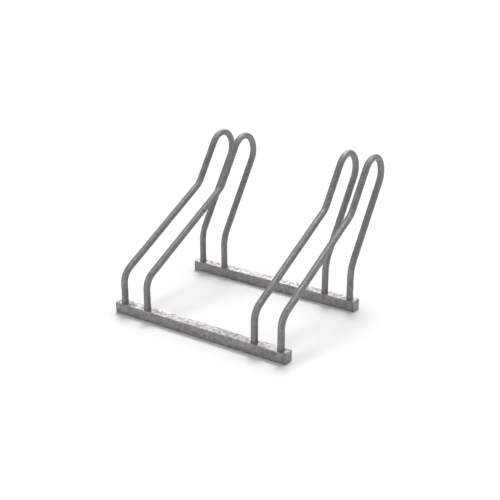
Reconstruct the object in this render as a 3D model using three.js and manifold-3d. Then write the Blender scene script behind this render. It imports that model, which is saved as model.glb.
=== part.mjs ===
// A galvanised hoop bike rack for two bicycles, parked side by side with their front wheels in it.
// Two square-tube rails lie on the ground. Four round-tube hoops stand across them in two pairs.
// A wheel rolls in between the two hoops of a pair, over the front rail, and leans against their heads.
// Each hoop is one bent tube: a front leg, a long slope, a knee, a steep head with a half-round top,
// and a back stretch that bends down into a rear leg. Its two ends plug into holes in the rails' top
// walls, where a fillet weld runs round each leg. Plates close the rails' ends, each with a seam weld.
// Units are millimetres. X runs along the rails, Y from the front rail to the rear one, Z is up.
// The origin is on the ground, in the middle of the rack's length and depth.

import * as THREE from "three";
import { mergeVertices } from "three/addons/utils/BufferGeometryUtils.js";
import Module from "manifold-3d";

const wasm = await Module();
wasm.setup();

// Driving dimensions of the layout
const bikePitch = 500; // between the middles of the two wheel slots
const tyreGap = 70.7; // clear width between the hoops of a pair
const railSpacing = 425; // between the rails' middles, front to back
const railOverhang = 15.2; // rail and plate past the outermost hoop's tube

// The hoops' tube and their side profile, with every bend measured to the tube's middle
const tubeDiameter = 22;
const tubeWall = 2;
const legCorner = 134.5; // height where the front leg's line meets the slope's
const slopeAngle = THREE.MathUtils.degToRad(25.7);
const kneeSetback = 15; // how far the knee stands in front of the rear leg
const headRise = 162.3; // from the knee to the top of the hoop
const headAngle = THREE.MathUtils.degToRad(54.4);
const headRadius = 61;
const frontBend = 53;
const kneeBend = 60;
const rearBend = 95;
const legPlug = 8; // how far a leg's end reaches below the rail's top wall

// The rails, with their end plates
const railSection = 36;
const railWall = 2.5;
const railCorner = 2;
const railInnerCorner = 1;
const drainDiameter = 10;
const drainInset = 32; // from the rail tube's end to a drain hole's middle
const plateThickness = 4;
const plateBevel = 2; // leaves the groove that the end weld fills

// Welds and fits
const footWeld = 2; // leg length of the fillet round each hoop's foot
const footWeldCrown = 0.4;
const endWeldCrown = 0.4;
const fitGap = 0.3; // between pieces that seat on each other
const cutOverrun = 1; // how far a cutting tool reaches past what it cuts

// How finely round stretches are divided
const tubeSides = 20;
const boreSides = 12;
const bendStep = THREE.MathUtils.degToRad(10);
const cornerSteps = 4;
const beadSteps = 4;

// Sizes that follow from the driving ones
const tubeRadius = tubeDiameter / 2;
const hoopPitch = tyreGap + tubeDiameter;
const railTop = railSection;
const railLength = bikePitch + hoopPitch + tubeDiameter + 2 * railOverhang;
const railTubeLength = railLength - 2 * plateThickness;
const legFoot = railTop - railWall - legPlug;
// A polygon's flats lie nearer its middle than its corners do, so the seat's corners stand further out.
const seatRadius = (tubeRadius + fitGap) / Math.cos(Math.PI / tubeSides);
// The groove's faces slope at 45 degrees, so a gap square to them is wider along the rail.
const grooveDepth = Math.min(plateBevel, railCorner, railWall);
const grooveGap = fitGap * Math.SQRT2;
const hoopPlaces = [
  { name: "left_slot_outer_hoop", x: -(bikePitch + hoopPitch) / 2 },
  { name: "left_slot_inner_hoop", x: -(bikePitch - hoopPitch) / 2 },
  { name: "right_slot_inner_hoop", x: (bikePitch - hoopPitch) / 2 },
  { name: "right_slot_outer_hoop", x: (bikePitch + hoopPitch) / 2 },
];

const zincTube = new THREE.MeshStandardMaterial({ color: 0x8a8a8b, roughness: 0.5, metalness: 0.85 });
const zincRail = new THREE.MeshStandardMaterial({ color: 0x8e8d8e, roughness: 0.4, metalness: 0.85 });
const zincWeld = new THREE.MeshStandardMaterial({ color: 0x7c7c7d, roughness: 0.6, metalness: 0.8 });

// A closed geometry as a solid that can be cut.
function solidOf(geometry) {
  const bare = geometry.clone();
  bare.deleteAttribute("normal");
  bare.deleteAttribute("uv");
  const merged = mergeVertices(bare);
  return new wasm.Manifold(
    new wasm.Mesh({
      numProp: 3,
      vertProperties: merged.attributes.position.array,
      triVerts: new Uint32Array(merged.index.array),
    }),
  );
}

// A cut solid back as a geometry.
function geometryOf(solid) {
  const mesh = solid.getMesh();
  return indexedGeometry(mesh.vertProperties, Array.from(mesh.triVerts));
}

function indexedGeometry(positions, triangles) {
  const geometry = new THREE.BufferGeometry();
  geometry.setAttribute("position", new THREE.Float32BufferAttribute(positions, 3));
  geometry.setIndex(triangles);
  geometry.computeVertexNormals();
  return geometry;
}

// A regular polygon's corners, anticlockwise.
function roundOutline(radius, sides) {
  return Array.from({ length: sides }, (_, i) => {
    const angle = (i / sides) * 2 * Math.PI;
    return new THREE.Vector2(radius * Math.cos(angle), radius * Math.sin(angle));
  });
}

// A square's outline with round corners, anticlockwise. An offset moves all of it outwards alike.
function squareOutline(side, corner, offset = 0) {
  const cornerMiddle = (side / 2 - corner) * Math.SQRT2;
  const radius = corner + offset;
  const points = [];
  for (let quarter = 0; quarter < 4; quarter += 1) {
    const start = (quarter * Math.PI) / 2;
    const diagonal = start + Math.PI / 4;
    for (let i = 0; i <= cornerSteps; i += 1) {
      const angle = start + ((i / cornerSteps) * Math.PI) / 2;
      points.push(
        new THREE.Vector2(
          cornerMiddle * Math.cos(diagonal) + radius * Math.cos(angle),
          cornerMiddle * Math.sin(diagonal) + radius * Math.sin(angle),
        ),
      );
    }
  }
  return points;
}

// A loft along X through the rail's outline, with each station's offset from it and its place on X.
// What would reach below the rail's underside is ground off level with it.
// A ring joins its last station to its first, and a plate has flat ends instead.
function outlineLoft(stations, isRing) {
  const half = railSection / 2;
  const loops = stations.map(({ offset, along }) =>
    squareOutline(railSection, railCorner, offset).map((p) => [along, p.x, half + Math.max(p.y, -half)]),
  );
  const columns = loops[0].length;
  const last = loops.length - 1;
  const at = (loop, column) => loop * columns + (column % columns);
  const triangles = [];
  for (let loop = 0; loop < (isRing ? loops.length : last); loop += 1) {
    const next = (loop + 1) % loops.length;
    for (let column = 0; column < columns; column += 1) {
      triangles.push(at(loop, column), at(loop, column + 1), at(next, column + 1));
      triangles.push(at(loop, column), at(next, column + 1), at(next, column));
    }
  }
  for (let column = 1; !isRing && column < columns - 1; column += 1) {
    triangles.push(at(0, 0), at(0, column + 1), at(0, column));
    triangles.push(at(last, 0), at(last, column), at(last, column + 1));
  }
  return indexedGeometry(loops.flat(2), triangles);
}

// The hoop's centreline in its own plane: X is front to back from the front leg, Y is height.
// The head's two stretches run side by side at one angle, and a half circle joins their tops.
function hoopLine() {
  const slope = new THREE.Vector2(Math.cos(slopeAngle), Math.sin(slopeAngle));
  const head = new THREE.Vector2(Math.cos(headAngle), Math.sin(headAngle));
  const across = new THREE.Vector2(head.y, -head.x).multiplyScalar(headRadius);

  const frontFoot = new THREE.Vector2(0, legFoot);
  const frontCorner = new THREE.Vector2(0, legCorner);
  const knee = frontCorner.clone().addScaledVector(slope, (railSpacing - kneeSetback) / slope.x);
  const headRun = (headRise - tubeRadius - headRadius - across.y) / head.y;
  const headStart = knee.clone().addScaledVector(head, headRun);
  const headMiddle = headStart.clone().add(across);
  const headEnd = headMiddle.clone().add(across);
  const rearCorner = headEnd.clone().addScaledVector(head, (railSpacing - headEnd.x) / head.x);
  const rearFoot = new THREE.Vector2(railSpacing, legFoot);

  const line = new THREE.Path();
  line.moveTo(frontFoot.x, frontFoot.y);
  bendCorner(line, frontFoot, frontCorner, knee, frontBend);
  bendCorner(line, frontCorner, knee, headStart, kneeBend);
  const topStart = across.clone().negate().angle();
  runToArc(line, headMiddle, headRadius, topStart, topStart - Math.PI, true);
  bendCorner(line, headEnd, rearCorner, rearFoot, rearBend);
  line.lineTo(rearFoot.x, rearFoot.y);
  return line;
}

// The straight run from the line's end to an arc's start, and then the arc.
function runToArc(line, middle, radius, from, to, isClockwise) {
  const arc = new THREE.EllipseCurve(middle.x, middle.y, radius, radius, from, to, isClockwise);
  const start = arc.getPoint(0);
  line.lineTo(start.x, start.y);
  line.add(arc);
  line.currentPoint.copy(arc.getPoint(1));
}

// A bend round a corner, tangent to the straight runs on both sides of it.
function bendCorner(line, before, corner, after, radius) {
  const back = before.clone().sub(corner).normalize();
  const on = after.clone().sub(corner).normalize();
  const bisector = back.clone().add(on).normalize();
  const halfOpening = Math.acos(back.dot(on)) / 2;
  const setback = radius / Math.tan(halfOpening);
  const middle = corner.clone().addScaledVector(bisector, radius / Math.sin(halfOpening));
  const start = corner.clone().addScaledVector(back, setback).sub(middle);
  const end = corner.clone().addScaledVector(on, setback).sub(middle);
  runToArc(line, middle, radius, start.angle(), end.angle(), back.cross(on) > 0);
}

// A flat line as a path in the YZ plane for an extrusion, with its steps only where the tube bends.
class BentPath extends THREE.Curve {
  constructor(line) {
    super();
    this.stations = [this.station(line.curves[0], 0)];
    for (const run of line.curves) {
      const halfTurn = run.getTangent(0).angleTo(run.getTangent(1 / 2));
      const steps = Math.max(1, Math.round((2 * halfTurn) / bendStep));
      for (let i = 1; i <= steps; i += 1) this.stations.push(this.station(run, i / steps));
    }
    this.steps = this.stations.length - 1;
  }

  station(run, share) {
    const point = run.getPoint(share);
    const tangent = run.getTangent(share);
    return {
      point: new THREE.Vector3(0, point.x, point.y),
      tangent: new THREE.Vector3(0, tangent.x, tangent.y),
    };
  }

  getPointAt(share) {
    return this.stations[Math.round(share * this.steps)].point.clone();
  }

  getTangentAt(share) {
    return this.stations[Math.round(share * this.steps)].tangent.clone();
  }
}

// One bent hollow tube, open at both feet.
function hoopGeometry() {
  const section = new THREE.Shape(roundOutline(tubeRadius, tubeSides));
  section.holes.push(new THREE.Path(roundOutline(tubeRadius - tubeWall, boreSides)));
  const path = new BentPath(hoopLine());
  return new THREE.ExtrudeGeometry(section, { steps: path.steps, extrudePath: path });
}

// A drill that stands on end between two heights.
function drill(radius, x, low, high) {
  const cylinder = new THREE.CylinderGeometry(radius, radius, high - low, tubeSides);
  cylinder.rotateX(Math.PI / 2);
  cylinder.translate(x, 0, (low + high) / 2);
  return solidOf(cylinder);
}

// A square tube along X, with a seat drilled through its top wall for each leg and drain holes below.
function railGeometry() {
  const section = new THREE.Shape(squareOutline(railSection, railCorner));
  section.holes.push(new THREE.Path(squareOutline(railSection - 2 * railWall, railInnerCorner)));
  const tube = new THREE.ExtrudeGeometry(section, { depth: railTubeLength, bevelEnabled: false });
  tube.translate(0, 0, -railTubeLength / 2);
  tube.rotateY(Math.PI / 2);
  tube.translate(0, 0, railSection / 2);

  let rail = solidOf(tube);
  for (const { x } of hoopPlaces) {
    rail = rail.subtract(drill(seatRadius, x, legFoot - fitGap, railTop + cutOverrun));
  }
  for (const side of [-1, 1]) {
    const x = side * (railTubeLength / 2 - drainInset);
    rail = rail.subtract(drill(drainDiameter / 2, x, -cutOverrun, railWall + cutOverrun));
  }
  return geometryOf(rail);
}

// A flat plate of the rail's outline, bevelled round the face that meets the rail.
function endPlateGeometry() {
  const stations = [
    { offset: -grooveDepth, along: 0 },
    { offset: 0, along: grooveDepth },
    { offset: 0, along: plateThickness },
  ];
  return outlineLoft(stations, false);
}

// The bead that fills the groove between a rail's end and its plate's bevel, crowned outside.
function endWeldGeometry() {
  const width = grooveDepth - grooveGap;
  const stations = [{ offset: -width, along: 0 }];
  for (let i = 0; i <= beadSteps; i += 1) {
    const share = i / beadSteps;
    stations.push({ offset: endWeldCrown * Math.sin(Math.PI * share), along: width * share });
  }
  return outlineLoft(stations, true);
}

// A crowned fillet ring that stands on the rail round a leg, no wider than the rail.
function footWeldGeometry() {
  const reach = Math.min(footWeld, railSection / 2 - seatRadius);
  const profile = [new THREE.Vector2(seatRadius, 0)];
  for (let i = 0; i <= beadSteps; i += 1) {
    const share = i / beadSteps;
    const crown = footWeldCrown * Math.sin(Math.PI * share) * Math.SQRT1_2;
    profile.push(new THREE.Vector2(seatRadius + reach * (1 - share) + crown, footWeld * share + crown));
  }
  profile.push(profile[0].clone());
  const ring = new THREE.LatheGeometry(profile, tubeSides);
  ring.rotateX(Math.PI / 2);
  return ring;
}

function named(name, geometry, material) {
  const mesh = new THREE.Mesh(geometry, material);
  mesh.name = name;
  return mesh;
}

// A rail with the plate and seam weld at each of its ends. The left end is the right one turned round.
function railGroup(name) {
  const group = new THREE.Group();
  group.add(named(name, railGeometry(), zincRail));
  for (const [side, turn] of [
    ["left", Math.PI],
    ["right", 0],
  ]) {
    const end = new THREE.Group();
    end.add(named(`${name}_${side}_end_plate`, endPlateGeometry(), zincRail));
    end.add(named(`${name}_${side}_end_weld`, endWeldGeometry(), zincWeld));
    end.position.x = (Math.cos(turn) * railTubeLength) / 2;
    end.rotation.z = turn;
    group.add(end);
  }
  return group;
}

// A hoop with the weld round each of its feet.
function hoopGroup(name) {
  const group = new THREE.Group();
  group.add(named(name, hoopGeometry(), zincTube));
  for (const [end, y] of [
    ["front", 0],
    ["rear", railSpacing],
  ]) {
    const weld = named(`${name}_${end}_weld`, footWeldGeometry(), zincWeld);
    weld.position.set(0, y, railTop);
    group.add(weld);
  }
  return group;
}

const rack = new THREE.Group();
const frontRail = railGroup("front_rail");
const rearRail = railGroup("rear_rail");
rearRail.position.y = railSpacing;
rack.add(frontRail, rearRail);
for (const { name, x } of hoopPlaces) {
  const hoop = hoopGroup(name);
  hoop.position.x = x;
  rack.add(hoop);
}
// The pieces are placed from the front rail's middle, so the rack moves until its depth is centred.
rack.position.y = -new THREE.Box3().setFromObject(rack).getCenter(new THREE.Vector3()).y;

export default rack;
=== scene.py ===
"""The looks of a galvanised hoop bike rack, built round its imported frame.

Lengths are metres. X runs along the rails, Y from the front rail to the rear one, and Z is up.
Each rail, plate, hoop and weld bead is drawn again as a fine surface: a function of two parameters
worked out on a grid of points. All are hot-dip galvanised steel, in three grades of one zinc finish.
"""

from __future__ import annotations

import logging
import math
from dataclasses import dataclass
from enum import Enum

import bmesh
import bpy
import numpy as np
from mathutils import Matrix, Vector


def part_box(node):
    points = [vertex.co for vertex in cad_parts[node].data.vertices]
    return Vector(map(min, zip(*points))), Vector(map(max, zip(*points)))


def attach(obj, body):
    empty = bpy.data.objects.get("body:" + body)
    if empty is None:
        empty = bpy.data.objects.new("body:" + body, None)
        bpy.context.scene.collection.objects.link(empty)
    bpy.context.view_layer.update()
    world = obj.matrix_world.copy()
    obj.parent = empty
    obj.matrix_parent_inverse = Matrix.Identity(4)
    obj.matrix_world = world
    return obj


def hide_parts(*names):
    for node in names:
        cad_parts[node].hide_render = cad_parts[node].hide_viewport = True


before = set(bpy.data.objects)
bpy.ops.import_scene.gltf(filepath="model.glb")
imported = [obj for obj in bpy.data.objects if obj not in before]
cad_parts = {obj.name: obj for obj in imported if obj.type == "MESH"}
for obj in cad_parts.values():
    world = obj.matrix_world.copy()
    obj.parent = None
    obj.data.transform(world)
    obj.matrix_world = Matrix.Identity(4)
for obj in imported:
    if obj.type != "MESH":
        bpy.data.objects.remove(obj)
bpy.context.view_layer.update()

MERGE_DISTANCE = 1e-6
SHARP_ANGLE = math.radians(35)
PLACE_ATTRIBUTE = "zinc_place"
RIM_ATTRIBUTE = "zinc_rim"
# How far each seed moves a piece's pattern on, so that no two pieces match
SEED_SHIFT = np.array([0.731, 0.317, 0.113])
# The waves of a ring's slow unevenness, each by how often it rises in one turn
WAVES = (2, 3, 5, 7)
# How the nodes are laid out in the node editor
NODES_IN_A_ROW = 12
NODE_SPACING = (180, -260)
# The sockets of the node that moves a value from one range to another
RANGE_ENDS = ("From Min", "From Max", "To Min", "To Max")

Colour = tuple[float, float, float, float]
Range = tuple[float, float]
Array = np.ndarray
Tree = bpy.types.NodeTree
Socket = bpy.types.NodeSocket

log = logging.getLogger("rack")


class Zinc(Enum):
    """The grades of zinc finish, each named by the record's material slot."""

    HOOP = "hoop_zinc"
    RAIL = "rail_zinc"
    WELD = "weld_zinc"


class End(Enum):
    """A rail's two ends, as the direction along X in which each one faces."""

    LEFT = -1
    RIGHT = 1


class Foot(Enum):
    """A hoop's two feet, named by the rail that each one stands on."""

    FRONT = "front_rail"
    REAR = "rear_rail"


class Side(Enum):
    """The sides of a rail that have holes, as the quarters of its outline that come before them."""

    BELOW = 0
    TOP = 2


# Which patterns each rail, hoop and foot takes
RAIL_SEEDS = {Foot.FRONT.value: 33, Foot.REAR.value: 65}
HOOP_SEEDS = {
    "left_slot_outer_hoop": 1,
    "left_slot_inner_hoop": 2,
    "right_slot_inner_hoop": 3,
    "right_slot_outer_hoop": 4,
}
FOOT_SEEDS = {Foot.FRONT: 5, Foot.REAR: 4}


@dataclass
class Patch:
    """A grid of points, a function of one parameter along its rows and one along its columns.

    points has the shape (rows, columns, 3), and its columns wrap round. place is where each point lies
    on the straightened piece, which the zinc's pattern follows, and unless given it is the point. rim
    is how much handling brightens each point, from 0 to 1, and unless given it is 0.
    """

    points: Array
    place: Array | None = None
    rim: Array | None = None
    wraps_rows: bool = False
    kept: Array | None = None

    def __post_init__(self) -> None:
        """Fills in a place or a rim that isn't given."""
        if self.place is None:
            self.place = self.points
        if self.rim is None:
            self.rim = np.zeros(self.points.shape[:2])

    def faces(self, first: int) -> Array:
        """Lists the patch's four-cornered faces.

        Args:
            first: the number of the patch's first point in the whole mesh.

        Returns:
            An array of shape (faces, 4), without the cells that kept leaves out.
        """
        rows, columns = self.points.shape[:2]
        index = first + np.arange(rows * columns).reshape(rows, columns)
        if self.wraps_rows:
            index = np.vstack([index, index[:1]])
        index = np.hstack([index, index[:, :1]])
        corners = np.stack([index[:-1, :-1], index[:-1, 1:], index[1:, 1:], index[1:, :-1]], axis=-1)
        return corners.reshape(-1, 4) if self.kept is None else corners[self.kept]


@dataclass
class Skin:
    """The closed surface of a CAD node, sewn together from patches that share their edges."""

    node: str
    patches: list[Patch]
    seed: int

    def mesh(self) -> bpy.types.Mesh:
        """Sews the patches into one mesh.

        Returns:
            The mesh, named as its node with the word coated after it.
        """
        mesh = bpy.data.meshes.new(self.node + "_coated")
        points = np.concatenate([patch.points.reshape(-1, 3) for patch in self.patches])
        firsts = np.cumsum([0] + [patch.rim.size for patch in self.patches[:-1]])
        faces = np.concatenate([patch.faces(first) for patch, first in zip(self.patches, firsts)])
        mesh.from_pydata(points, [], faces)
        self.tell(mesh)
        self.sew(mesh)
        return mesh

    def tell(self, mesh: bpy.types.Mesh) -> None:
        """Stores each point's place, moved on by the seed, and its rim.

        Args:
            mesh: the mesh that holds the patches' points in their order.
        """
        place = np.concatenate([patch.place.reshape(-1, 3) for patch in self.patches])
        place = place + self.seed * SEED_SHIFT
        rim = np.concatenate([patch.rim.ravel() for patch in self.patches])
        stored = mesh.attributes.new(PLACE_ATTRIBUTE, "FLOAT_VECTOR", "POINT")
        stored.data.foreach_set("vector", place.astype(np.float32).ravel())
        stored = mesh.attributes.new(RIM_ATTRIBUTE, "FLOAT", "POINT")
        stored.data.foreach_set("value", rim.astype(np.float32))

    def sew(self, mesh: bpy.types.Mesh) -> None:
        """Merges the points that patches share, turns the faces outwards and smooths the shading.

        Args:
            mesh: the mesh to sew.
        """
        sewn = bmesh.new()
        sewn.from_mesh(mesh)
        bmesh.ops.remove_doubles(sewn, verts=sewn.verts, dist=MERGE_DISTANCE)
        bmesh.ops.recalc_face_normals(sewn, faces=sewn.faces)
        sewn.to_mesh(mesh)
        sewn.free()
        mesh.shade_smooth()
        mesh.set_sharp_from_angle(angle=SHARP_ANGLE)


@dataclass
class BentLine:
    """A flat line with round corners, as a bent tube's middle follows it.

    It is a chain of runs, each with its length and its curvature, which is 0 where the run is straight.
    """

    corners: Array
    radii: Array

    def __post_init__(self) -> None:
        """Turns the corners into runs. A round corner takes radius times tan(turn / 2) off each side."""
        legs = np.diff(self.corners, axis=0)
        turns = np.diff(np.unwrap(np.arctan2(legs[:, 1], legs[:, 0])))
        setbacks = self.radii * np.tan(np.abs(turns) / 2)
        straights = np.linalg.norm(legs, axis=1)
        straights[:-1] -= setbacks
        straights[1:] -= setbacks
        self.lengths = np.empty(2 * len(legs) - 1)
        self.lengths[0::2] = straights
        self.lengths[1::2] = self.radii * np.abs(turns)
        self.curvatures = np.zeros_like(self.lengths)
        self.curvatures[1::2] = np.sign(turns) / self.radii
        self.starts = np.concatenate([[0.0], np.cumsum(self.lengths)[:-1]])
        turned = np.concatenate([[0.0], np.cumsum(self.curvatures * self.lengths)[:-1]])
        self.headings = math.atan2(legs[0, 1], legs[0, 0]) + turned
        chords = self.chord(np.arange(len(self.lengths)), self.lengths)
        steps = np.cumsum(chords, axis=0)[:-1]
        self.places = self.corners[0] + np.concatenate([np.zeros((1, 2)), steps])

    @property
    def length(self) -> float:
        """The whole line's length."""
        return float(self.lengths.sum())

    def chord(self, run: Array, along: Array) -> Array:
        """Gives the step from a run's start to a point on it.

        The chord of an arc is its length times sin(half turn) over the half turn, in the direction
        half way through the turn. A straight run has no turn, and its chord is its length.

        Args:
            run: the number of each point's run.
            along: how far along its run each point lies.

        Returns:
            The steps, with the shape (points, 2).
        """
        half_turn = self.curvatures[run] * along / 2
        reach = along * np.sinc(half_turn / np.pi)
        heading = self.headings[run] + half_turn
        return np.stack([reach * np.cos(heading), reach * np.sin(heading)], axis=-1)

    def at(self, distance: Array) -> tuple[Array, Array, Array]:
        """Follows the line.

        Args:
            distance: distances from the line's start.

        Returns:
            The points there, the headings, and the size of the curvature.
        """
        run = np.clip(np.searchsorted(self.starts, distance, side="right") - 1, 0, len(self.starts) - 1)
        along = distance - self.starts[run]
        point = self.places[run] + self.chord(run, along)
        heading = self.headings[run] + self.curvatures[run] * along
        return point, heading, np.abs(self.curvatures[run])


@dataclass
class SquareOutline:
    """The outline of a square tube with round corners, with its middle at the origin."""

    side: float
    corner: float
    rows: Array
    corner_steps: int = 8

    def points(self) -> tuple[Array, Array]:
        """Goes once round the outline, anticlockwise from the lower left corner.

        A side is a straight row of points, and a corner is the arc corner * (sin a, -cos a) for a
        from 0 to a quarter turn. The other three quarters are this one turned round.

        Returns:
            The points and their outward normals, each with the shape (points, 2).
        """
        flat = self.side / 2 - self.corner
        along = np.concatenate([[-flat], self.rows, [flat]])
        turn = np.linspace(0, np.pi / 2, self.corner_steps + 1)[1:-1]
        arc = np.stack([np.sin(turn), -np.cos(turn)], axis=-1)
        side = np.stack([along, np.full_like(along, -self.side / 2)], axis=-1)
        quarter = np.concatenate([side, np.array([flat, -flat]) + self.corner * arc])
        normals = np.concatenate([np.tile([0.0, -1.0], (len(side), 1)), arc])
        turns = [np.array([[c, s], [-s, c]]) for c, s in ((1, 0), (0, 1), (-1, 0), (0, -1))]
        return np.concatenate([quarter @ t for t in turns]), np.concatenate([normals @ t for t in turns])

    def side_start(self, side: Side) -> int:
        """The number of the first point of a side."""
        return side.value * (len(self.rows) + 1 + self.corner_steps)


@dataclass(frozen=True)
class Bead:
    """A weld bead's surface: its crown and root, its rows of points, and its ripples.

    A ripple's height is sqrt(sin(pi * phase)), where the phase runs from 0 to 1 over each ripple, as
    the fraction of along + bow * (2 * across - 1) ** 2, for across from 0 to 1 over the bead. That
    makes each ripple a crescent, whose ends lie back from its middle by the bow.
    """

    crown: float
    root: float
    rows: int
    pitch: float
    bow: float
    least: float
    rippled: float
    steps: int = 6

    def across(self) -> Array:
        """The places of the rows across the bead, from 0 to 1."""
        return np.linspace(0, 1, self.rows)[:, None]

    def relief(self, along: Array, extra: Array) -> tuple[Array, Array]:
        """Works out the relief: crown * sin(pi * across) * (least + rippled * height + extra).

        Args:
            along: the places along the bead, in ripples.
            extra: a further share of the crown at each of them.

        Returns:
            How much handling brightens each point, and how far the point stands out.
        """
        across = self.across()
        height = np.sqrt(np.sin(np.pi * np.mod(along + self.bow * (2 * across - 1) ** 2, 1.0)))
        arch = np.sin(np.pi * across)
        return height * arch, self.crown * arch * (self.least + self.rippled * height + extra)


def wander(angle: Array, seed: int) -> Array:
    """Gives a slow unevenness round a ring, from about -1 to 1.

    It is the mean of the sines of 2, 3, 5 and 7 times the angle, each with its own phase.

    Args:
        angle: the angle round the ring.
        seed: a number that picks the phases.

    Returns:
        The unevenness.
    """
    phases = np.random.default_rng(seed).uniform(0, 2 * np.pi, len(WAVES))
    return sum(np.sin(times * angle + phase) for times, phase in zip(WAVES, phases)) / len(WAVES)


class NodeWeb:
    """Adds nodes to one node tree and joins their sockets."""

    def __init__(self, tree: Tree) -> None:
        """Starts on a tree."""
        self.tree = tree

    def add(self, kind: str, values: dict | None = None, **settings: object) -> bpy.types.Node:
        """Adds a node.

        Args:
            kind: the node's type, without the words ShaderNode.
            values: for each input, by name or number, a number or the socket that feeds it.
            settings: the node's own settings.

        Returns:
            The node.
        """
        node = self.tree.nodes.new("ShaderNode" + kind)
        row, column = divmod(len(self.tree.nodes), NODES_IN_A_ROW)
        node.location = (column * NODE_SPACING[0], row * NODE_SPACING[1])
        for name, value in settings.items():
            setattr(node, name, value)
        for name, value in (values or {}).items():
            if isinstance(value, Socket):
                self.tree.links.new(value, node.inputs[name])
            else:
                node.inputs[name].default_value = value
        return node

    def mixed(self, share: object, low: object, high: object) -> Socket:
        """The colour a share of the way from low to high."""
        values = {"Factor": share, "A": low, "B": high}
        return self.add("Mix", values, data_type="RGBA").outputs["Result"]

    def ranged(self, value: object, source: Range, target: Range = (0.0, 1.0)) -> Socket:
        """The value moved from one range to another, smoothly at its ends, and held to it."""
        values = {"Value": value} | dict(zip(RANGE_ENDS, source + target))
        return self.add("MapRange", values, interpolation_type="SMOOTHSTEP").outputs["Result"]

    def product(self, first: object, second: object) -> Socket:
        """The first value times the second."""
        return self.add("Math", {0: first, 1: second}, operation="MULTIPLY").outputs[0]

    def one_over(self, value: object) -> Socket:
        """One over the value, as a size becomes a count."""
        return self.add("Math", {0: 1.0, 1: value}, operation="DIVIDE").outputs[0]

    def scaled(self, vector: object, factor: object) -> Socket:
        """The vector times a number."""
        return self.add("VectorMath", {0: vector, "Scale": factor}, operation="SCALE").outputs[0]

    def sum_of(self, first: object, second: object, share: float) -> Socket:
        """The second value times a share, added to the first."""
        return self.add("Math", {0: second, 1: share, 2: first}, operation="MULTIPLY_ADD").outputs[0]


def new_group(name: str, inputs: list[str], outputs: list[str]) -> tuple[NodeWeb, dict[str, Socket]]:
    """Starts a shader node group, whose first input is the vector Place.

    Args:
        name: the group's name.
        inputs: the names of the further inputs, which are all numbers.
        outputs: the names of the outputs, which are all numbers.

    Returns:
        The group's web and its input sockets by name.
    """
    tree = bpy.data.node_groups.new(name, "ShaderNodeTree")
    tree.interface.new_socket(name="Place", in_out="INPUT", socket_type="NodeSocketVector")
    for way, names in (("INPUT", inputs), ("OUTPUT", outputs)):
        for socket in names:
            tree.interface.new_socket(name=socket, in_out=way, socket_type="NodeSocketFloat")
    entry = tree.nodes.new("NodeGroupInput")
    return NodeWeb(tree), {socket: entry.outputs[socket] for socket in ["Place", *inputs]}


def close_group(web: NodeWeb, results: dict[str, Socket]) -> Tree:
    """Joins a group's results to its outputs.

    Args:
        web: the group's web.
        results: the socket that feeds each output, by its name.

    Returns:
        The finished group.
    """
    leave = web.tree.nodes.new("NodeGroupOutput")
    for name, socket in results.items():
        web.tree.links.new(socket, leave.inputs[name])
    return web.tree


@dataclass(frozen=True)
class Spangle:
    """The crystal pattern of hot-dip zinc, whose lengths and counts go by a crystal's size.

    Voronoi cells with wavy borders are the crystals. Each has its own tone, and feathers of stretched
    noise run through it in its own direction.
    """

    wave_height: float = 0.55
    wave_count: float = 1.7
    feather_counts: tuple[float, float, float] = (1.1, 7.0, 7.0)
    feather_range: Range = (0.32, 0.68)
    border_width: float = 0.12
    feather_height: float = 0.8

    def group(self) -> Tree:
        """Makes the pattern's node group.

        Returns:
            A group with the inputs Place, Size and Feather, and the outputs Tone, Facet and Height.
        """
        web, given = new_group("Zinc Spangle", ["Size", "Feather"], ["Tone", "Facet", "Height"])
        scaled = web.scaled(given["Place"], web.one_over(given["Size"]))
        noise = web.add("TexNoise", {"Vector": scaled, "Scale": self.wave_count, "Detail": 3.0})
        swing = {0: noise.outputs["Color"], 1: (self.wave_height,) * 3, 2: scaled}
        wavy = web.add("VectorMath", swing, operation="MULTIPLY_ADD").outputs[0]
        cells = web.add("TexVoronoi", {"Vector": wavy, "Scale": 1.0})
        borders = web.add("TexVoronoi", {"Vector": wavy, "Scale": 1.0}, feature="DISTANCE_TO_EDGE")
        parts = web.add("SeparateColor", {0: cells.outputs["Color"]})
        spin = {"Vector": scaled, "Rotation": web.scaled(cells.outputs["Color"], 2 * math.pi)}
        turned = web.add("VectorRotate", spin, rotation_type="EULER_XYZ").outputs[0]
        stretch = {0: turned, 1: self.feather_counts}
        drawn = web.add("VectorMath", stretch, operation="MULTIPLY").outputs[0]
        feather = web.add("TexNoise", {"Vector": drawn, "Scale": 1.0, "Detail": 4.0}).outputs[0]
        sharpened = web.ranged(feather, self.feather_range, (-0.5, 0.5))
        share = web.product(sharpened, given["Feather"])
        tone = web.add("Math", {0: parts.outputs[0], 1: share}, operation="ADD", use_clamp=True)
        ridge = web.ranged(borders.outputs["Distance"], (0.0, self.border_width))
        height = web.sum_of(ridge, feather, self.feather_height)
        results = {"Tone": tone.outputs[0], "Facet": parts.outputs[1], "Height": height}
        return close_group(web, results)


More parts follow.
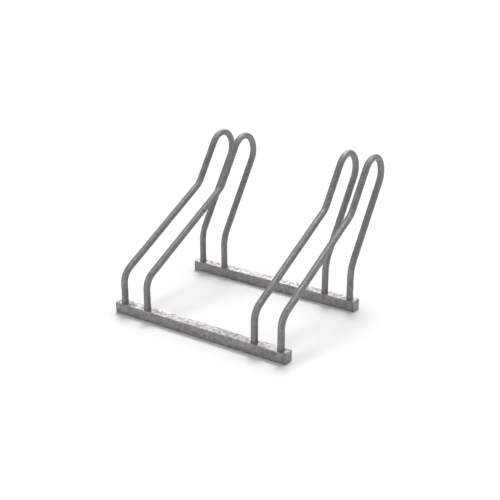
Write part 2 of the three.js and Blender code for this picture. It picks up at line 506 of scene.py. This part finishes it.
@dataclass(frozen=True)
class Weather:
    """What age and the dipping bath leave on zinc, whose counts go by a cloud's size.

    Haze is the dull bloom, in broad clouds. Runs are streaks drawn out along X, as the melt drained.
    Grain is a fine mottling, Flakes are patches that shine more than the rest, Pits are small dark
    spots, and Height is the coat's unevenness.
    """

    haze_range: Range = (0.40, 0.68)
    streak_count: float = 7.0
    streak_range: Range = (0.33, 0.67)
    grain_range: Range = (0.35, 0.65)
    flake_range: Range = (0.42, 0.58)
    pit_count: float = 9.0
    pit_range: Range = (0.04, 0.13)
    lump_count: float = 5.0
    streak_height: float = 0.6
    pit_depth: float = 0.35

    def group(self) -> Tree:
        """Makes the weather's node group.

        Returns:
            A group with the inputs Place, Cloud, Draw, Speck and Flake, and the outputs Haze, Runs,
            Grain, Flakes, Pits and Height.
        """
        outputs = ["Haze", "Runs", "Grain", "Flakes", "Pits", "Height"]
        web, given = new_group("Zinc Weather", ["Cloud", "Draw", "Speck", "Flake"], outputs)
        place = given["Place"]
        scaled = web.scaled(place, web.one_over(given["Cloud"]))
        cloud = web.add("TexNoise", {"Vector": scaled, "Scale": 1.0, "Detail": 5.0, "Roughness": 0.6})
        haze = web.ranged(cloud.outputs[0], self.haze_range)
        stretch = web.add("CombineXYZ", {0: web.one_over(given["Draw"]), 1: 1.0, 2: 1.0}).outputs[0]
        drawn = web.add("VectorMath", {0: scaled, 1: stretch}, operation="MULTIPLY").outputs[0]
        values = {"Vector": drawn, "Scale": self.streak_count, "Detail": 4.0, "Roughness": 0.55}
        streak = web.add("TexNoise", values).outputs[0]
        runs = web.ranged(streak, self.streak_range)
        values = {"Vector": place, "Scale": web.one_over(given["Speck"]), "Detail": 2.0}
        grain = web.ranged(web.add("TexNoise", values).outputs[0], self.grain_range, (-0.5, 0.5))
        values = {"Vector": place, "Scale": web.one_over(given["Flake"]), "Detail": 2.0}
        flakes = web.ranged(web.add("TexNoise", values).outputs[0], self.flake_range)
        spots = web.add("TexVoronoi", {"Vector": scaled, "Scale": self.pit_count})
        pits = web.ranged(spots.outputs["Distance"], self.pit_range, (1.0, 0.0))
        lumps = web.add("TexNoise", {"Vector": scaled, "Scale": self.lump_count, "Detail": 3.0})
        level = web.sum_of(lumps.outputs[0], streak, self.streak_height)
        height = web.sum_of(level, pits, -self.pit_depth)
        results = {"Haze": haze, "Runs": runs, "Grain": grain}
        results |= {"Flakes": flakes, "Pits": pits, "Height": height}
        return close_group(web, results)


@dataclass(frozen=True)
class Flakes:
    """Patches of a coat that shine more: their size, how much smoother they are, and their film."""

    size: float
    gleam: float
    film_roughness: float = 0.25
    film_ior: float = 1.6


@dataclass(frozen=True)
class ZincFinish:
    """A hot-dip zinc coat: its colours, its shine, and the sizes of its crystals and clouds.

    The glance tints what the metal reflects at a low angle. A share says how far one pattern goes into
    the colour, and the dulling how far the haze goes into the roughness.
    """

    grade: Zinc
    dark: Colour
    light: Colour
    bloom: Colour
    worn: Colour
    dull: float
    spangle: float
    cloud: float
    draw: float
    speck: float
    grain_share: float
    metallic: float = 0.45
    shiny: float = 0.40
    feather: float = 0.9
    relief: float = 0.0003
    bloom_share: float = 0.4
    runs_share: float = 0.3
    pit_share: float = 0.35
    haze_dulling: float = 0.8
    crystal_relief: float = 0.35
    glance: Colour = (1.0, 1.0, 1.0, 1)
    flakes: Flakes | None = None

    def material(self, spangle: Tree, weather: Tree) -> bpy.types.Material:
        """Builds the coat's material.

        Args:
            spangle: the crystal pattern's group.
            weather: the weathering's group.

        Returns:
            The material.
        """
        made = bpy.data.materials.new(self.grade.value)
        made.use_nodes = True
        made.node_tree.nodes.clear()
        web = NodeWeb(made.node_tree)
        place = web.add("Attribute", attribute_name=PLACE_ATTRIBUTE).outputs["Vector"]
        rim = web.add("Attribute", attribute_name=RIM_ATTRIBUTE).outputs["Fac"]
        sizes = {"Place": place, "Size": self.spangle, "Feather": self.feather}
        crystals = web.add("Group", sizes, node_tree=spangle)
        sizes = {"Place": place, "Cloud": self.cloud, "Draw": self.draw, "Speck": self.speck}
        if self.flakes is not None:
            sizes["Flake"] = self.flakes.size
        age = web.add("Group", sizes, node_tree=weather)

        toned = web.product(crystals.outputs["Tone"], 1 - self.runs_share)
        streaked = web.sum_of(toned, age.outputs["Runs"], self.runs_share)
        tone = web.sum_of(streaked, age.outputs["Grain"], self.grain_share)
        colour = web.mixed(tone, self.dark, self.light)
        hazy = web.product(age.outputs["Haze"], self.bloom_share)
        colour = web.mixed(hazy, colour, self.bloom)
        spots = web.product(age.outputs["Pits"], self.pit_share)
        colour = web.mixed(spots, colour, self.dark)
        worn = web.product(rim, age.outputs["Runs"])
        colour = web.mixed(worn, colour, self.worn)

        dulled = web.sum_of(crystals.outputs["Facet"], age.outputs["Haze"], self.haze_dulling)
        roughness = web.ranged(dulled, (0.0, 1 + self.haze_dulling), (self.shiny, self.dull))
        height = web.sum_of(age.outputs["Height"], crystals.outputs["Height"], self.crystal_relief)
        bump = web.add("Bump", {"Height": height, "Strength": 1.0, "Distance": self.relief})
        values = {
            "Base Color": colour,
            "Metallic": self.metallic,
            "Roughness": roughness,
            "Normal": bump.outputs[0],
            "Specular Tint": self.glance,
        }
        if self.flakes is not None:
            patches = age.outputs["Flakes"]
            values["Coat Weight"] = patches
            values["Coat Roughness"] = self.flakes.film_roughness
            values["Coat IOR"] = self.flakes.film_ior
            values["Roughness"] = web.sum_of(roughness, patches, -self.flakes.gleam)
        shader = web.add("BsdfPrincipled", values)
        web.add("OutputMaterial", {"Surface": shader.outputs[0]})
        return made


FINISHES = (
    ZincFinish(
        grade=Zinc.HOOP,
        dark=(0.114, 0.110, 0.112, 1),
        light=(0.290, 0.284, 0.288, 1),
        bloom=(0.22, 0.217, 0.219, 1),
        worn=(0.32, 0.314, 0.317, 1),
        dull=0.64,
        spangle=0.0048,
        cloud=0.045,
        draw=5.0,
        speck=0.0021,
        grain_share=1.3,
    ),
    ZincFinish(
        grade=Zinc.RAIL,
        dark=(0.138, 0.137, 0.137, 1),
        light=(0.273, 0.271, 0.272, 1),
        bloom=(0.227, 0.225, 0.226, 1),
        worn=(0.30, 0.297, 0.299, 1),
        dull=0.62,
        spangle=0.011,
        cloud=0.06,
        draw=1.8,
        speck=0.0045,
        grain_share=0.5,
        bloom_share=0.3,
        glance=(0.82, 0.60, 0.71, 1),
        flakes=Flakes(size=0.01, gleam=0.16),
    ),
    ZincFinish(
        grade=Zinc.WELD,
        dark=(0.095, 0.090, 0.093, 1),
        light=(0.22, 0.213, 0.217, 1),
        bloom=(0.20, 0.194, 0.197, 1),
        worn=(0.29, 0.282, 0.286, 1),
        metallic=0.70,
        shiny=0.36,
        dull=0.58,
        spangle=0.005,
        feather=0.6,
        cloud=0.02,
        draw=1.5,
        speck=0.003,
        grain_share=0.4,
        relief=0.0002,
    ),
)


class ZincBath:
    """Coats pieces: it holds one material for each grade of zinc."""

    def __init__(self) -> None:
        """Builds the two pattern groups once and each grade's material from them."""
        spangle = Spangle().group()
        weather = Weather().group()
        self.coats = {finish.grade: finish.material(spangle, weather) for finish in FINISHES}

    def dip(self, skin: Skin, grade: Zinc) -> bpy.types.Object:
        """Makes a skin into a piece with a coat, in the stead of its CAD node.

        Args:
            skin: the piece's surface.
            grade: the zinc's grade, which also names the material.

        Returns:
            The finished piece, with its place in its mesh.
        """
        mesh = skin.mesh()
        mesh.materials.append(self.coats[grade])
        piece = bpy.data.objects.new(mesh.name, mesh)
        bpy.context.scene.collection.objects.link(piece)
        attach(piece, "root")
        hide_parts(skin.node)
        return piece


@dataclass(frozen=True)
class Window:
    """A square opening in a rail's skin for a round hole: its place on X, side, cells and hole radius.

    The cells are counted from its middle to its edge.
    """

    place: float
    side: Side
    cells: int
    radius: float


@dataclass
class RailAssembly:
    """A square tube along X, with the plate that closes each end and the seam weld round it."""

    name: str
    seed: int
    seats: tuple[float, ...]
    wall: float = 0.0025
    corner: float = 0.002
    inner_corner: float = 0.001
    seat_radius: float = 0.0114
    drain_radius: float = 0.005
    drain_inset: float = 0.032
    cell: float = 0.0028
    seat_cells: int = 5
    drain_cells: int = 3
    longest_cell: float = 0.012
    place_decimals: int = 6
    support: float = 0.0004
    inner_rows_reach: float = 0.98
    patch_rings: int = 5
    plate_edge: float = 0.0006
    plate_edge_steps: int = 4
    plate_bevel: float = 0.002
    plate_seed_step: int = 7
    bead: Bead = Bead(
        crown=0.0002, root=0.0012, rows=9, pitch=0.0024, bow=0.45, least=0.62, rippled=0.2
    )
    bead_half_width: float = 0.0019
    uneven_crown: float = 0.18
    uneven_width: float = 0.12
    crown_seed: int = 20
    width_seed: int = 40

    def __post_init__(self) -> None:
        """Reads the tube's place and section from the frame."""
        low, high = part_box(self.name)
        self.half_length = high.x
        self.side = high.z - low.z
        self.middle = np.array([0.0, (low.y + high.y) / 2, (low.z + high.z) / 2])

    def build(self, bath: ZincBath) -> list[bpy.types.Object]:
        """Builds the tube, both plates and both welds.

        Args:
            bath: the zinc bath that coats them.

        Returns:
            The five pieces.
        """
        pieces = [bath.dip(self.tube(), Zinc.RAIL)]
        for end in End:
            pieces.append(bath.dip(self.end_plate(end), Zinc.RAIL))
            pieces.append(bath.dip(self.end_weld(end), Zinc.WELD))
        return pieces

    def rows(self) -> Array:
        """Places the lengthwise lines on one flat side.

        Returns:
            The places, from the side's middle.
        """
        reach = self.seat_cells * self.cell
        flat = self.side / 2 - self.corner
        inner = np.arange(-self.seat_cells, self.seat_cells + 1) * self.cell
        outer = (reach + flat - self.support) / 2
        return np.concatenate([[-(flat - self.support), -outer], inner, [outer, flat - self.support]])

    def windows(self) -> list[Window]:
        """Lists the windows.

        Returns:
            The windows of the seats on top and of the drains below.
        """
        seats = [Window(x, Side.TOP, self.seat_cells, self.seat_radius) for x in self.seats]
        drain = self.half_length - self.drain_inset
        drains = [Window(x, Side.BELOW, self.drain_cells, self.drain_radius) for x in (-drain, drain)]
        return seats + drains

    def stations(self) -> Array:
        """Picks the places on X of the rings of points.

        Every window has a ring at each of its cells, and nowhere are two rings further apart than
        the longest cell.

        Returns:
            The places, in order.
        """
        wanted = [np.array([-self.half_length, self.half_length])]
        wanted += [w.place + np.arange(-w.cells, w.cells + 1) * self.cell for w in self.windows()]
        marks = np.unique(np.round(np.concatenate(wanted), self.place_decimals))
        steps = np.ceil(np.diff(marks) / self.longest_cell).astype(int)
        spans = [np.linspace(a, b, n, endpoint=False) for a, b, n in zip(marks[:-1], marks[1:], steps)]
        return np.concatenate(spans + [marks[-1:]])

    def sheet(self, outline: SquareOutline, x: Array) -> Patch:
        """Carries a square outline along X.

        Args:
            outline: the outline.
            x: the places of its rings.

        Returns:
            The tube's skin, without its windows.
        """
        points, _ = outline.points()
        grid = np.empty((len(x), len(points), 3))
        grid[..., 0] = x[:, None]
        grid[..., 1:] = points
        kept = np.ones((len(x) - 1, len(points)), bool)
        for window in self.windows():
            first, last, left, right = self.span(outline, x, window)
            kept[first:last, left:right] = False
        flat = outline.side / 2 - outline.corner
        depth = np.abs(points).min(axis=1) - (flat - self.support)
        rim = np.tile(np.clip(depth / self.support, 0, 1), (len(x), 1))
        return Patch(grid + self.middle, rim=rim, kept=kept)

    def span(self, outline: SquareOutline, x: Array, window: Window) -> tuple[int, int, int, int]:
        """Finds a window in a sheet's grid.

        Args:
            outline: the sheet's outline.
            x: the places of its rings.
            window: the window to find.

        Returns:
            Its first and last ring and its first and last column.
        """
        reach = window.cells * self.cell
        first, last = (int(np.abs(x - (window.place + end)).argmin()) for end in (-reach, reach))
        middle = outline.side_start(window.side) + 1 + len(outline.rows) // 2
        return first, last, middle - window.cells, middle + window.cells

    def hole(self, outer: Patch, inner: Patch, span: tuple[int, ...], window: Window) -> Patch:
        """Fills a window from its square edge to its round hole, and on through the wall.

        A ring is the mix (1 - t) * square + t * circle of the window's edge and the hole's, for t
        from 0 to 1, on the outer skin, and back from 1 to 0 on the inner one.

        Args:
            outer: the tube's outer skin.
            inner: its inner skin.
            span: the window's first and last ring and column.
            window: the window to fill.

        Returns:
            The patch that joins both skins.
        """
        first, last, left, right = span
        across, along = np.arange(left, right), np.arange(first, last)
        sides = [(along, left), (last, across), (along[::-1] + 1, right), (first, across[::-1] + 1)]
        ring, column = np.hstack([np.broadcast_arrays(*side) for side in sides])
        centre = np.array([window.place, self.middle[1]])
        share = np.linspace(0, 1, self.patch_rings + 1)[:, None, None]
        halves = []
        for skin, order in ((outer, 1), (inner, -1)):
            square = skin.points[ring, column]
            circle = square.copy()
            away = square[:, :2] - centre
            circle[:, :2] = centre + window.radius * away / np.linalg.norm(away, axis=1, keepdims=True)
            halves.append(((1 - share) * square + share * circle)[::order])
        return Patch(np.concatenate(halves))

    def tube(self) -> Skin:
        """Builds the hollow tube, with its four seats above and two drain holes below.

        Returns:
            The tube's skin.
        """
        x, rows = self.stations(), self.rows()
        outline = SquareOutline(self.side, self.corner, rows)
        outer = self.sheet(outline, x)
        inside = self.side - 2 * self.wall
        inner_flat = inside / 2 - self.inner_corner
        inner_rows = rows * inner_flat / rows[-1] * self.inner_rows_reach
        inner = self.sheet(SquareOutline(inside, self.inner_corner, inner_rows), x)
        patches = [outer, inner]
        for window in self.windows():
            patches.append(self.hole(outer, inner, self.span(outline, x, window), window))
        patches += [Patch(np.stack([outer.points[ring], inner.points[ring]])) for ring in (0, -1)]
        return Skin(self.name, patches, self.seed)

    def end_plate(self, end: End) -> Skin:
        """Builds an end plate: the tube's outline carried along X and drawn in to a point at each face.

        A ring is share * (outline + offset * normal) at its own place along X. The share falls from 1
        to 0 across a face, the offset follows the bevel that the weld fills, and a quarter round takes
        the outer edge.

        Args:
            end: which end of the rail it closes.

        Returns:
            The plate's skin.
        """
        name = f"{self.name}_{end.name.lower()}_end_plate"
        low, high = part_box(name)
        thickness = high.x - low.x
        points, normals = SquareOutline(self.side, self.corner, self.rows()).points()
        bevel, edge = self.plate_bevel, self.plate_edge
        turn = np.linspace(0, np.pi / 2, self.plate_edge_steps + 1)
        back = [[0, -bevel, 0], [0.5, -bevel, 0], [1, -bevel, 0], [1, 0, bevel]]
        rounded = [np.ones_like(turn), edge * (np.cos(turn) - 1), thickness - edge * (1 - np.sin(turn))]
        front = [[share, -edge, thickness] for share in (0.75, 0.5, 0.25, 0)]
        shares, offsets, alongs = np.concatenate([back, np.transpose(rounded), front]).T
        grid = np.empty((len(shares), len(points), 3))
        grid[..., 0] = (self.half_length + alongs)[:, None] * end.value
        grid[..., 1:] = shares[:, None, None] * (points + offsets[:, None, None] * normals)
        seed = self.seed + self.plate_seed_step * end.value
        return Skin(name, [Patch(grid + self.middle)], seed)

    def end_weld(self, end: End) -> Skin:
        """Builds the seam weld round an end plate, ground flat where it would reach below the rail.

        A point lies at outline + relief * normal, and at middle + (2 * across - 1) * width along X. The
        relief and the width are slowly uneven, and the bead's root lies inside the wall.

        Args:
            end: which end of the rail it runs round.

        Returns:
            The bead's skin.
        """
        name = f"{self.name}_{end.name.lower()}_end_weld"
        low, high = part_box(name)
        flat = self.side / 2 - self.corner
        rows = np.linspace(-flat, flat, int(2 * flat / (self.bead.pitch / self.bead.steps)))[1:-1]
        points, normals = SquareOutline(self.side, self.corner, rows).points()
        distance = np.concatenate([[0], np.cumsum(np.linalg.norm(np.diff(points, axis=0), axis=1))])
        total = distance[-1] + np.linalg.norm(points[0] - points[-1])
        turn = distance / total
        seed = self.seed + end.value
        angle = 2 * np.pi * turn
        uneven = self.uneven_crown * wander(angle, seed + self.crown_seed)
        wear, relief = self.bead.relief(turn * round(total / self.bead.pitch), uneven)
        width = self.bead_half_width * (1 + self.uneven_width * wander(angle, seed + self.width_seed))
        middle = (low.x + high.x) / 2 * end.value
        top = np.empty((*relief.shape, 3))
        top[..., 0] = (middle + (2 * self.bead.across() - 1) * width) * end.value
        top[..., 1:] = points + relief[..., None] * normals
        root = top[[-1, 0]].copy()
        root[..., 1:] -= self.bead.root * normals
        grid = np.concatenate([top, root])
        grid[..., 2] = np.maximum(grid[..., 2], -self.side / 2)
        rim = np.pad(wear, ((0, len(root)), (0, 0)))
        return Skin(name, [Patch(grid + self.middle, rim=rim, wraps_rows=True)], self.seed)


@dataclass
class HoopAssembly:
    """One bent round tube with its two open feet in the rails' seats, and the weld round each foot.

    Its bends have the CAD's own sizes, which the frame doesn't hold.
    """

    name: str
    seed: int
    tube_wall: float = 0.002
    leg_corner: float = 0.1345
    slope_angle: float = math.radians(25.7)
    knee_setback: float = 0.015
    head_rise: float = 0.1623
    head_angle: float = math.radians(54.4)
    head_radius: float = 0.061
    front_bend: float = 0.053
    knee_bend: float = 0.06
    rear_bend: float = 0.095
    flattening: float = 0.022
    flattening_reach: float = 0.012
    bend_samples: int = 11
    bend_wear: float = 0.6
    station_step: float = 0.0035
    bore_step: float = 0.014
    tube_sides: int = 48
    bead: Bead = Bead(
        crown=0.0004, root=0.0004, rows=11, pitch=0.0022, bow=0.4, least=0.2, rippled=0.6
    )
    stop_crown: float = 0.5
    stop_spread: float = 0.02
    uneven_leg: float = 0.07
    foot_seed_step: int = 7

    def __post_init__(self) -> None:
        """Reads the tube's thickness and the places of its feet from the frame."""
        low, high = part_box(self.name)
        self.x = (low.x + high.x) / 2
        self.radius = (high.x - low.x) / 2
        self.foot_height = low.z
        self.feet = {foot: self.rail_middle(foot) for foot in Foot}

    def rail_middle(self, foot: Foot) -> float:
        """The place on Y of the rail that a foot stands on."""
        low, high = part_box(foot.value)
        return (low.y + high.y) / 2

    def build(self, bath: ZincBath) -> list[bpy.types.Object]:
        """Builds the tube and its two foot welds.

        Args:
            bath: the zinc bath that coats them.

        Returns:
            The three pieces.
        """
        pieces = [bath.dip(self.tube(), Zinc.HOOP)]
        for foot in Foot:
            pieces.append(bath.dip(self.foot_weld(foot), Zinc.WELD))
        return pieces

    def middle_line(self) -> BentLine:
        """Lays out the tube's middle line in its own plane, from the front foot to the rear one.

        The head's two stretches run side by side at one angle, two head radii apart. Two quarter
        bends of that radius, one after the other, make the half round at the top.

        Returns:
            The line, in Y and Z.
        """
        slope = np.array([math.cos(self.slope_angle), math.sin(self.slope_angle)])
        head = np.array([math.cos(self.head_angle), math.sin(self.head_angle)])
        across = self.head_radius * np.array([head[1], -head[0]])
        front, rear = self.feet[Foot.FRONT], self.feet[Foot.REAR]
        corner = np.array([front, self.leg_corner])
        knee = corner + slope * (rear - front - self.knee_setback) / slope[0]
        run = (self.head_rise - self.radius - self.head_radius - across[1]) / head[1]
        head_start = knee + head * run
        head_end = head_start + 2 * across
        lift = self.head_radius * head
        rear_corner = head_end + head * (rear - head_end[0]) / head[0]
        corners = [
            [front, self.foot_height],
            corner,
            knee,
            head_start + lift,
            head_end + lift,
            rear_corner,
            [rear, self.foot_height],
        ]
        radii = [self.front_bend, self.knee_bend, self.head_radius, self.head_radius, self.rear_bend]
        return BentLine(np.array(corners), np.array(radii))

    def tube(self) -> Skin:
        """Builds the hollow tube, outside and bore in one closed grid.

        A point is line(s) + in_plane * cos(angle) * normal + sideways * sin(angle) * x. In a bend
        the tube flattens a little, so in_plane is radius * (1 - flattening) there, and it widens by
        half as much sideways. The columns run along the outside, and back along the bore.

        Returns:
            The tube's skin.
        """
        line = self.middle_line()
        out = np.linspace(0, line.length, round(line.length / self.station_step) + 1)
        back = np.linspace(line.length, 0, round(line.length / self.bore_step) + 1)
        distance = np.concatenate([out, back])
        radius = np.repeat([self.radius, self.radius - self.tube_wall], [len(out), len(back)])
        point, heading, _ = line.at(distance)
        bend = self.bend_share(line, distance)
        angle = np.linspace(0, 2 * np.pi, self.tube_sides, endpoint=False)
        in_plane = (radius * (1 - self.flattening * bend))[:, None] * np.cos(angle)
        sideways = (radius * (1 + self.flattening / 2 * bend))[:, None] * np.sin(angle)
        grid = np.empty((len(distance), self.tube_sides, 3))
        grid[..., 0] = self.x + sideways
        grid[..., 1] = point[:, :1] - np.sin(heading)[:, None] * in_plane
        grid[..., 2] = point[:, 1:] + np.cos(heading)[:, None] * in_plane
        place = np.empty_like(grid)
        place[..., 0] = distance[:, None]
        place[..., 1] = radius[:, None] * np.cos(angle)
        place[..., 2] = radius[:, None] * np.sin(angle)
        rim = np.repeat(self.bend_wear * bend[:, None], self.tube_sides, axis=1)
        return Skin(self.name, [Patch(grid, place, rim, wraps_rows=True)], self.seed)

    def bend_share(self, line: BentLine, distance: Array) -> Array:
        """Tells where the tube is bent: 1 in the middle of a bend, falling to 0 past its ends.

        It is the mean of the curvature at some places within the reach of the flattening, times the
        radius of the tightest bend, so a wider bend flattens the tube less.

        Args:
            line: the tube's middle line.
            distance: distances along it.

        Returns:
            The shares.
        """
        reach = self.flattening_reach
        offsets = np.linspace(-reach, reach, self.bend_samples)
        nearby = np.clip(distance[:, None] + offsets, 0, line.length)
        curvature = line.at(nearby.ravel())[2].reshape(nearby.shape)
        return curvature.mean(axis=1) * line.radii.min()

    def foot_weld(self, foot: Foot) -> Skin:
        """Builds the fillet weld round a foot.

        Seen from above a point lies at radius + leg * (1 - across), and leg * across above the rail,
        both with sqrt(0.5) * relief added, for across from 0 on the rail to 1 on the tube. The relief
        is highest where the weld starts and stops, and the leg is slowly uneven round the foot.

        Args:
            foot: which foot it runs round.

        Returns:
            The bead's skin.
        """
        name = f"{self.name}_{foot.name.lower()}_weld"
        low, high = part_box(name)
        leg = high.z - low.z - self.bead.crown / 2
        ripples = round(2 * np.pi * (self.radius + leg / 2) / self.bead.pitch)
        angle = np.linspace(0, 2 * np.pi, ripples * self.bead.steps, endpoint=False)
        across = self.bead.across()
        seed = self.foot_seed_step * self.seed + FOOT_SEEDS[foot]
        start = np.random.default_rng(seed).uniform(0, 2 * np.pi)
        from_stop = np.mod(angle - start + np.pi, 2 * np.pi) - np.pi
        stop = self.stop_crown * np.exp(-(from_stop**2) / self.stop_spread)
        wear, relief = self.bead.relief(angle / (2 * np.pi) * ripples, stop)
        bulge = relief * math.sqrt(0.5)
        reach = leg * (1 + self.uneven_leg * wander(angle, seed))
        distance = self.radius + reach * (1 - across) + bulge
        rise = reach * across + bulge
        inside = np.full_like(angle, self.radius - self.bead.root)
        below = np.full_like(angle, -self.bead.root)
        distance = np.vstack([distance, inside, inside, distance[0]])
        rise = np.vstack([rise, rise[-1], below, below])
        x = self.x + distance * np.cos(angle)
        y = self.feet[foot] + distance * np.sin(angle)
        rim = np.pad(wear, ((0, len(rise) - len(wear)), (0, 0)))
        patch = Patch(np.stack([x, y, low.z + rise], axis=-1), rim=rim, wraps_rows=True)
        return Skin(name, [patch], seed)


@dataclass(frozen=True)
class Softbox:
    """A round patch of soft light far away, with its angles in degrees.

    The azimuth turns from straight behind the rack towards its left, and the reach is how far from
    its middle the light has faded out.
    """

    azimuth: float
    elevation: float
    reach: float
    strength: float

    def direction(self) -> tuple[float, float, float]:
        """Turns its angles into a direction.

        Returns:
            The direction in which its middle lies.
        """
        azimuth, elevation = math.radians(self.azimuth), math.radians(self.elevation)
        level = math.cos(elevation)
        return (-level * math.sin(azimuth), level * math.cos(azimuth), math.sin(elevation))


@dataclass
class Studio:
    """A plain pale floor, soft light that is brightest behind and above the rack, and the camera."""

    camera_place: tuple[float, float, float] = (1.51741, -2.30016, 1.28056)
    camera_yaw: float = math.radians(33.627)
    camera_pitch: float = math.radians(-21.716)
    camera_roll: float = math.radians(-0.017)
    lens: float = 65.271
    sensor: float = 36.0
    floor_rings: tuple[float, ...] = (0.0, 0.5, 1.0, 2.0, 4.0, 8.0, 16.0)
    floor_sides: int = 96
    floor_drop: float = 0.0002
    floor_colour: Colour = (0.808, 0.796, 0.802, 1)
    backdrop: Colour = (1.05, 1.05, 1.05, 1)
    softboxes: tuple[Softbox, ...] = (
        Softbox(azimuth=26, elevation=64, reach=12, strength=24.5),
        Softbox(azimuth=-15, elevation=60, reach=26, strength=2.9),
        Softbox(azimuth=36, elevation=15, reach=30, strength=4.1),
        Softbox(azimuth=155, elevation=15, reach=70, strength=1.4),
        Softbox(azimuth=290, elevation=30, reach=65, strength=0.8),
    )

    def build(self) -> None:
        """Builds the floor, the light and the camera."""
        self.floor()
        self.light()
        self.camera()

    def floor(self) -> None:
        """Builds the floor: a disc, a function of the distance from its middle and the angle."""
        distance = np.array(self.floor_rings)[:, None]
        angle = np.linspace(0, 2 * np.pi, self.floor_sides, endpoint=False)
        x, y = distance * np.cos(angle), distance * np.sin(angle)
        grid = np.stack([x, y, np.full_like(x, -self.floor_drop)], axis=-1)
        mesh = bpy.data.meshes.new("studio_floor")
        mesh.from_pydata(grid.reshape(-1, 3), [], Patch(grid).faces(0))
        floor = bpy.data.objects.new("studio_floor", mesh)
        made = bpy.data.materials.new("studio_floor")
        made.use_nodes = True
        shader = made.node_tree.nodes["Principled BSDF"]
        shader.inputs["Base Color"].default_value = self.floor_colour
        shader.inputs["Specular IOR Level"].default_value = 0.0
        mesh.materials.append(made)
        bpy.context.scene.collection.objects.link(floor)

    def light(self) -> None:
        """Surrounds the studio with its softboxes, which the camera itself sees as a plain backdrop.

        The light's strength is the sum over the boxes of strength * smoothstep(cos(reach), 1, c),
        where c is the cosine of the angle between the light's direction and the box's middle.
        """
        world = bpy.data.worlds.new("studio_light")
        world.use_nodes = True
        web = NodeWeb(world.node_tree)
        direction = web.add("TexCoord").outputs["Generated"]
        total = 0.0
        for box in self.softboxes:
            aim = {0: direction, 1: box.direction()}
            closeness = web.add("VectorMath", aim, operation="DOT_PRODUCT").outputs["Value"]
            glow = web.ranged(closeness, (math.cos(math.radians(box.reach)), 1.0))
            total = web.sum_of(total, glow, box.strength)
        seen = web.add("LightPath").outputs["Is Camera Ray"]
        shown = web.mixed(seen, total, self.backdrop)
        web.tree.links.new(shown, world.node_tree.nodes["Background"].inputs["Color"])
        bpy.context.scene.world = world
        bpy.context.scene.view_settings.view_transform = "Standard"

    def camera(self) -> None:
        """Sets the camera up where the photograph was taken from."""
        lens = bpy.data.cameras.new("camera")
        lens.lens = self.lens
        lens.sensor_width = self.sensor
        camera = bpy.data.objects.new("camera", lens)
        yaw = Matrix.Rotation(self.camera_yaw, 4, "Z")
        pitch = Matrix.Rotation(self.camera_pitch, 4, "X")
        # A camera that isn't turned looks straight down
        level = Matrix.Rotation(math.radians(90), 4, "X")
        roll = Matrix.Rotation(self.camera_roll, 4, "Z")
        camera.matrix_world = Matrix.Translation(self.camera_place) @ yaw @ pitch @ level @ roll
        bpy.context.scene.collection.objects.link(camera)
        bpy.context.scene.camera = camera


def main() -> None:
    """Builds the rails, the hoops and the studio, and reports each piece."""
    bath = ZincBath()
    hoops = [HoopAssembly(name, seed) for name, seed in HOOP_SEEDS.items()]
    seats = tuple(hoop.x for hoop in hoops)
    rails = [RailAssembly(name, seed, seats) for name, seed in RAIL_SEEDS.items()]
    for assembly in rails + hoops:
        for piece in assembly.build(bath):
            log.info("%s: %d faces", piece.name, len(piece.data.polygons))
    Studio().build()


if __name__ == "__main__":
    logging.basicConfig(level=logging.INFO, format="%(message)s")
    main()
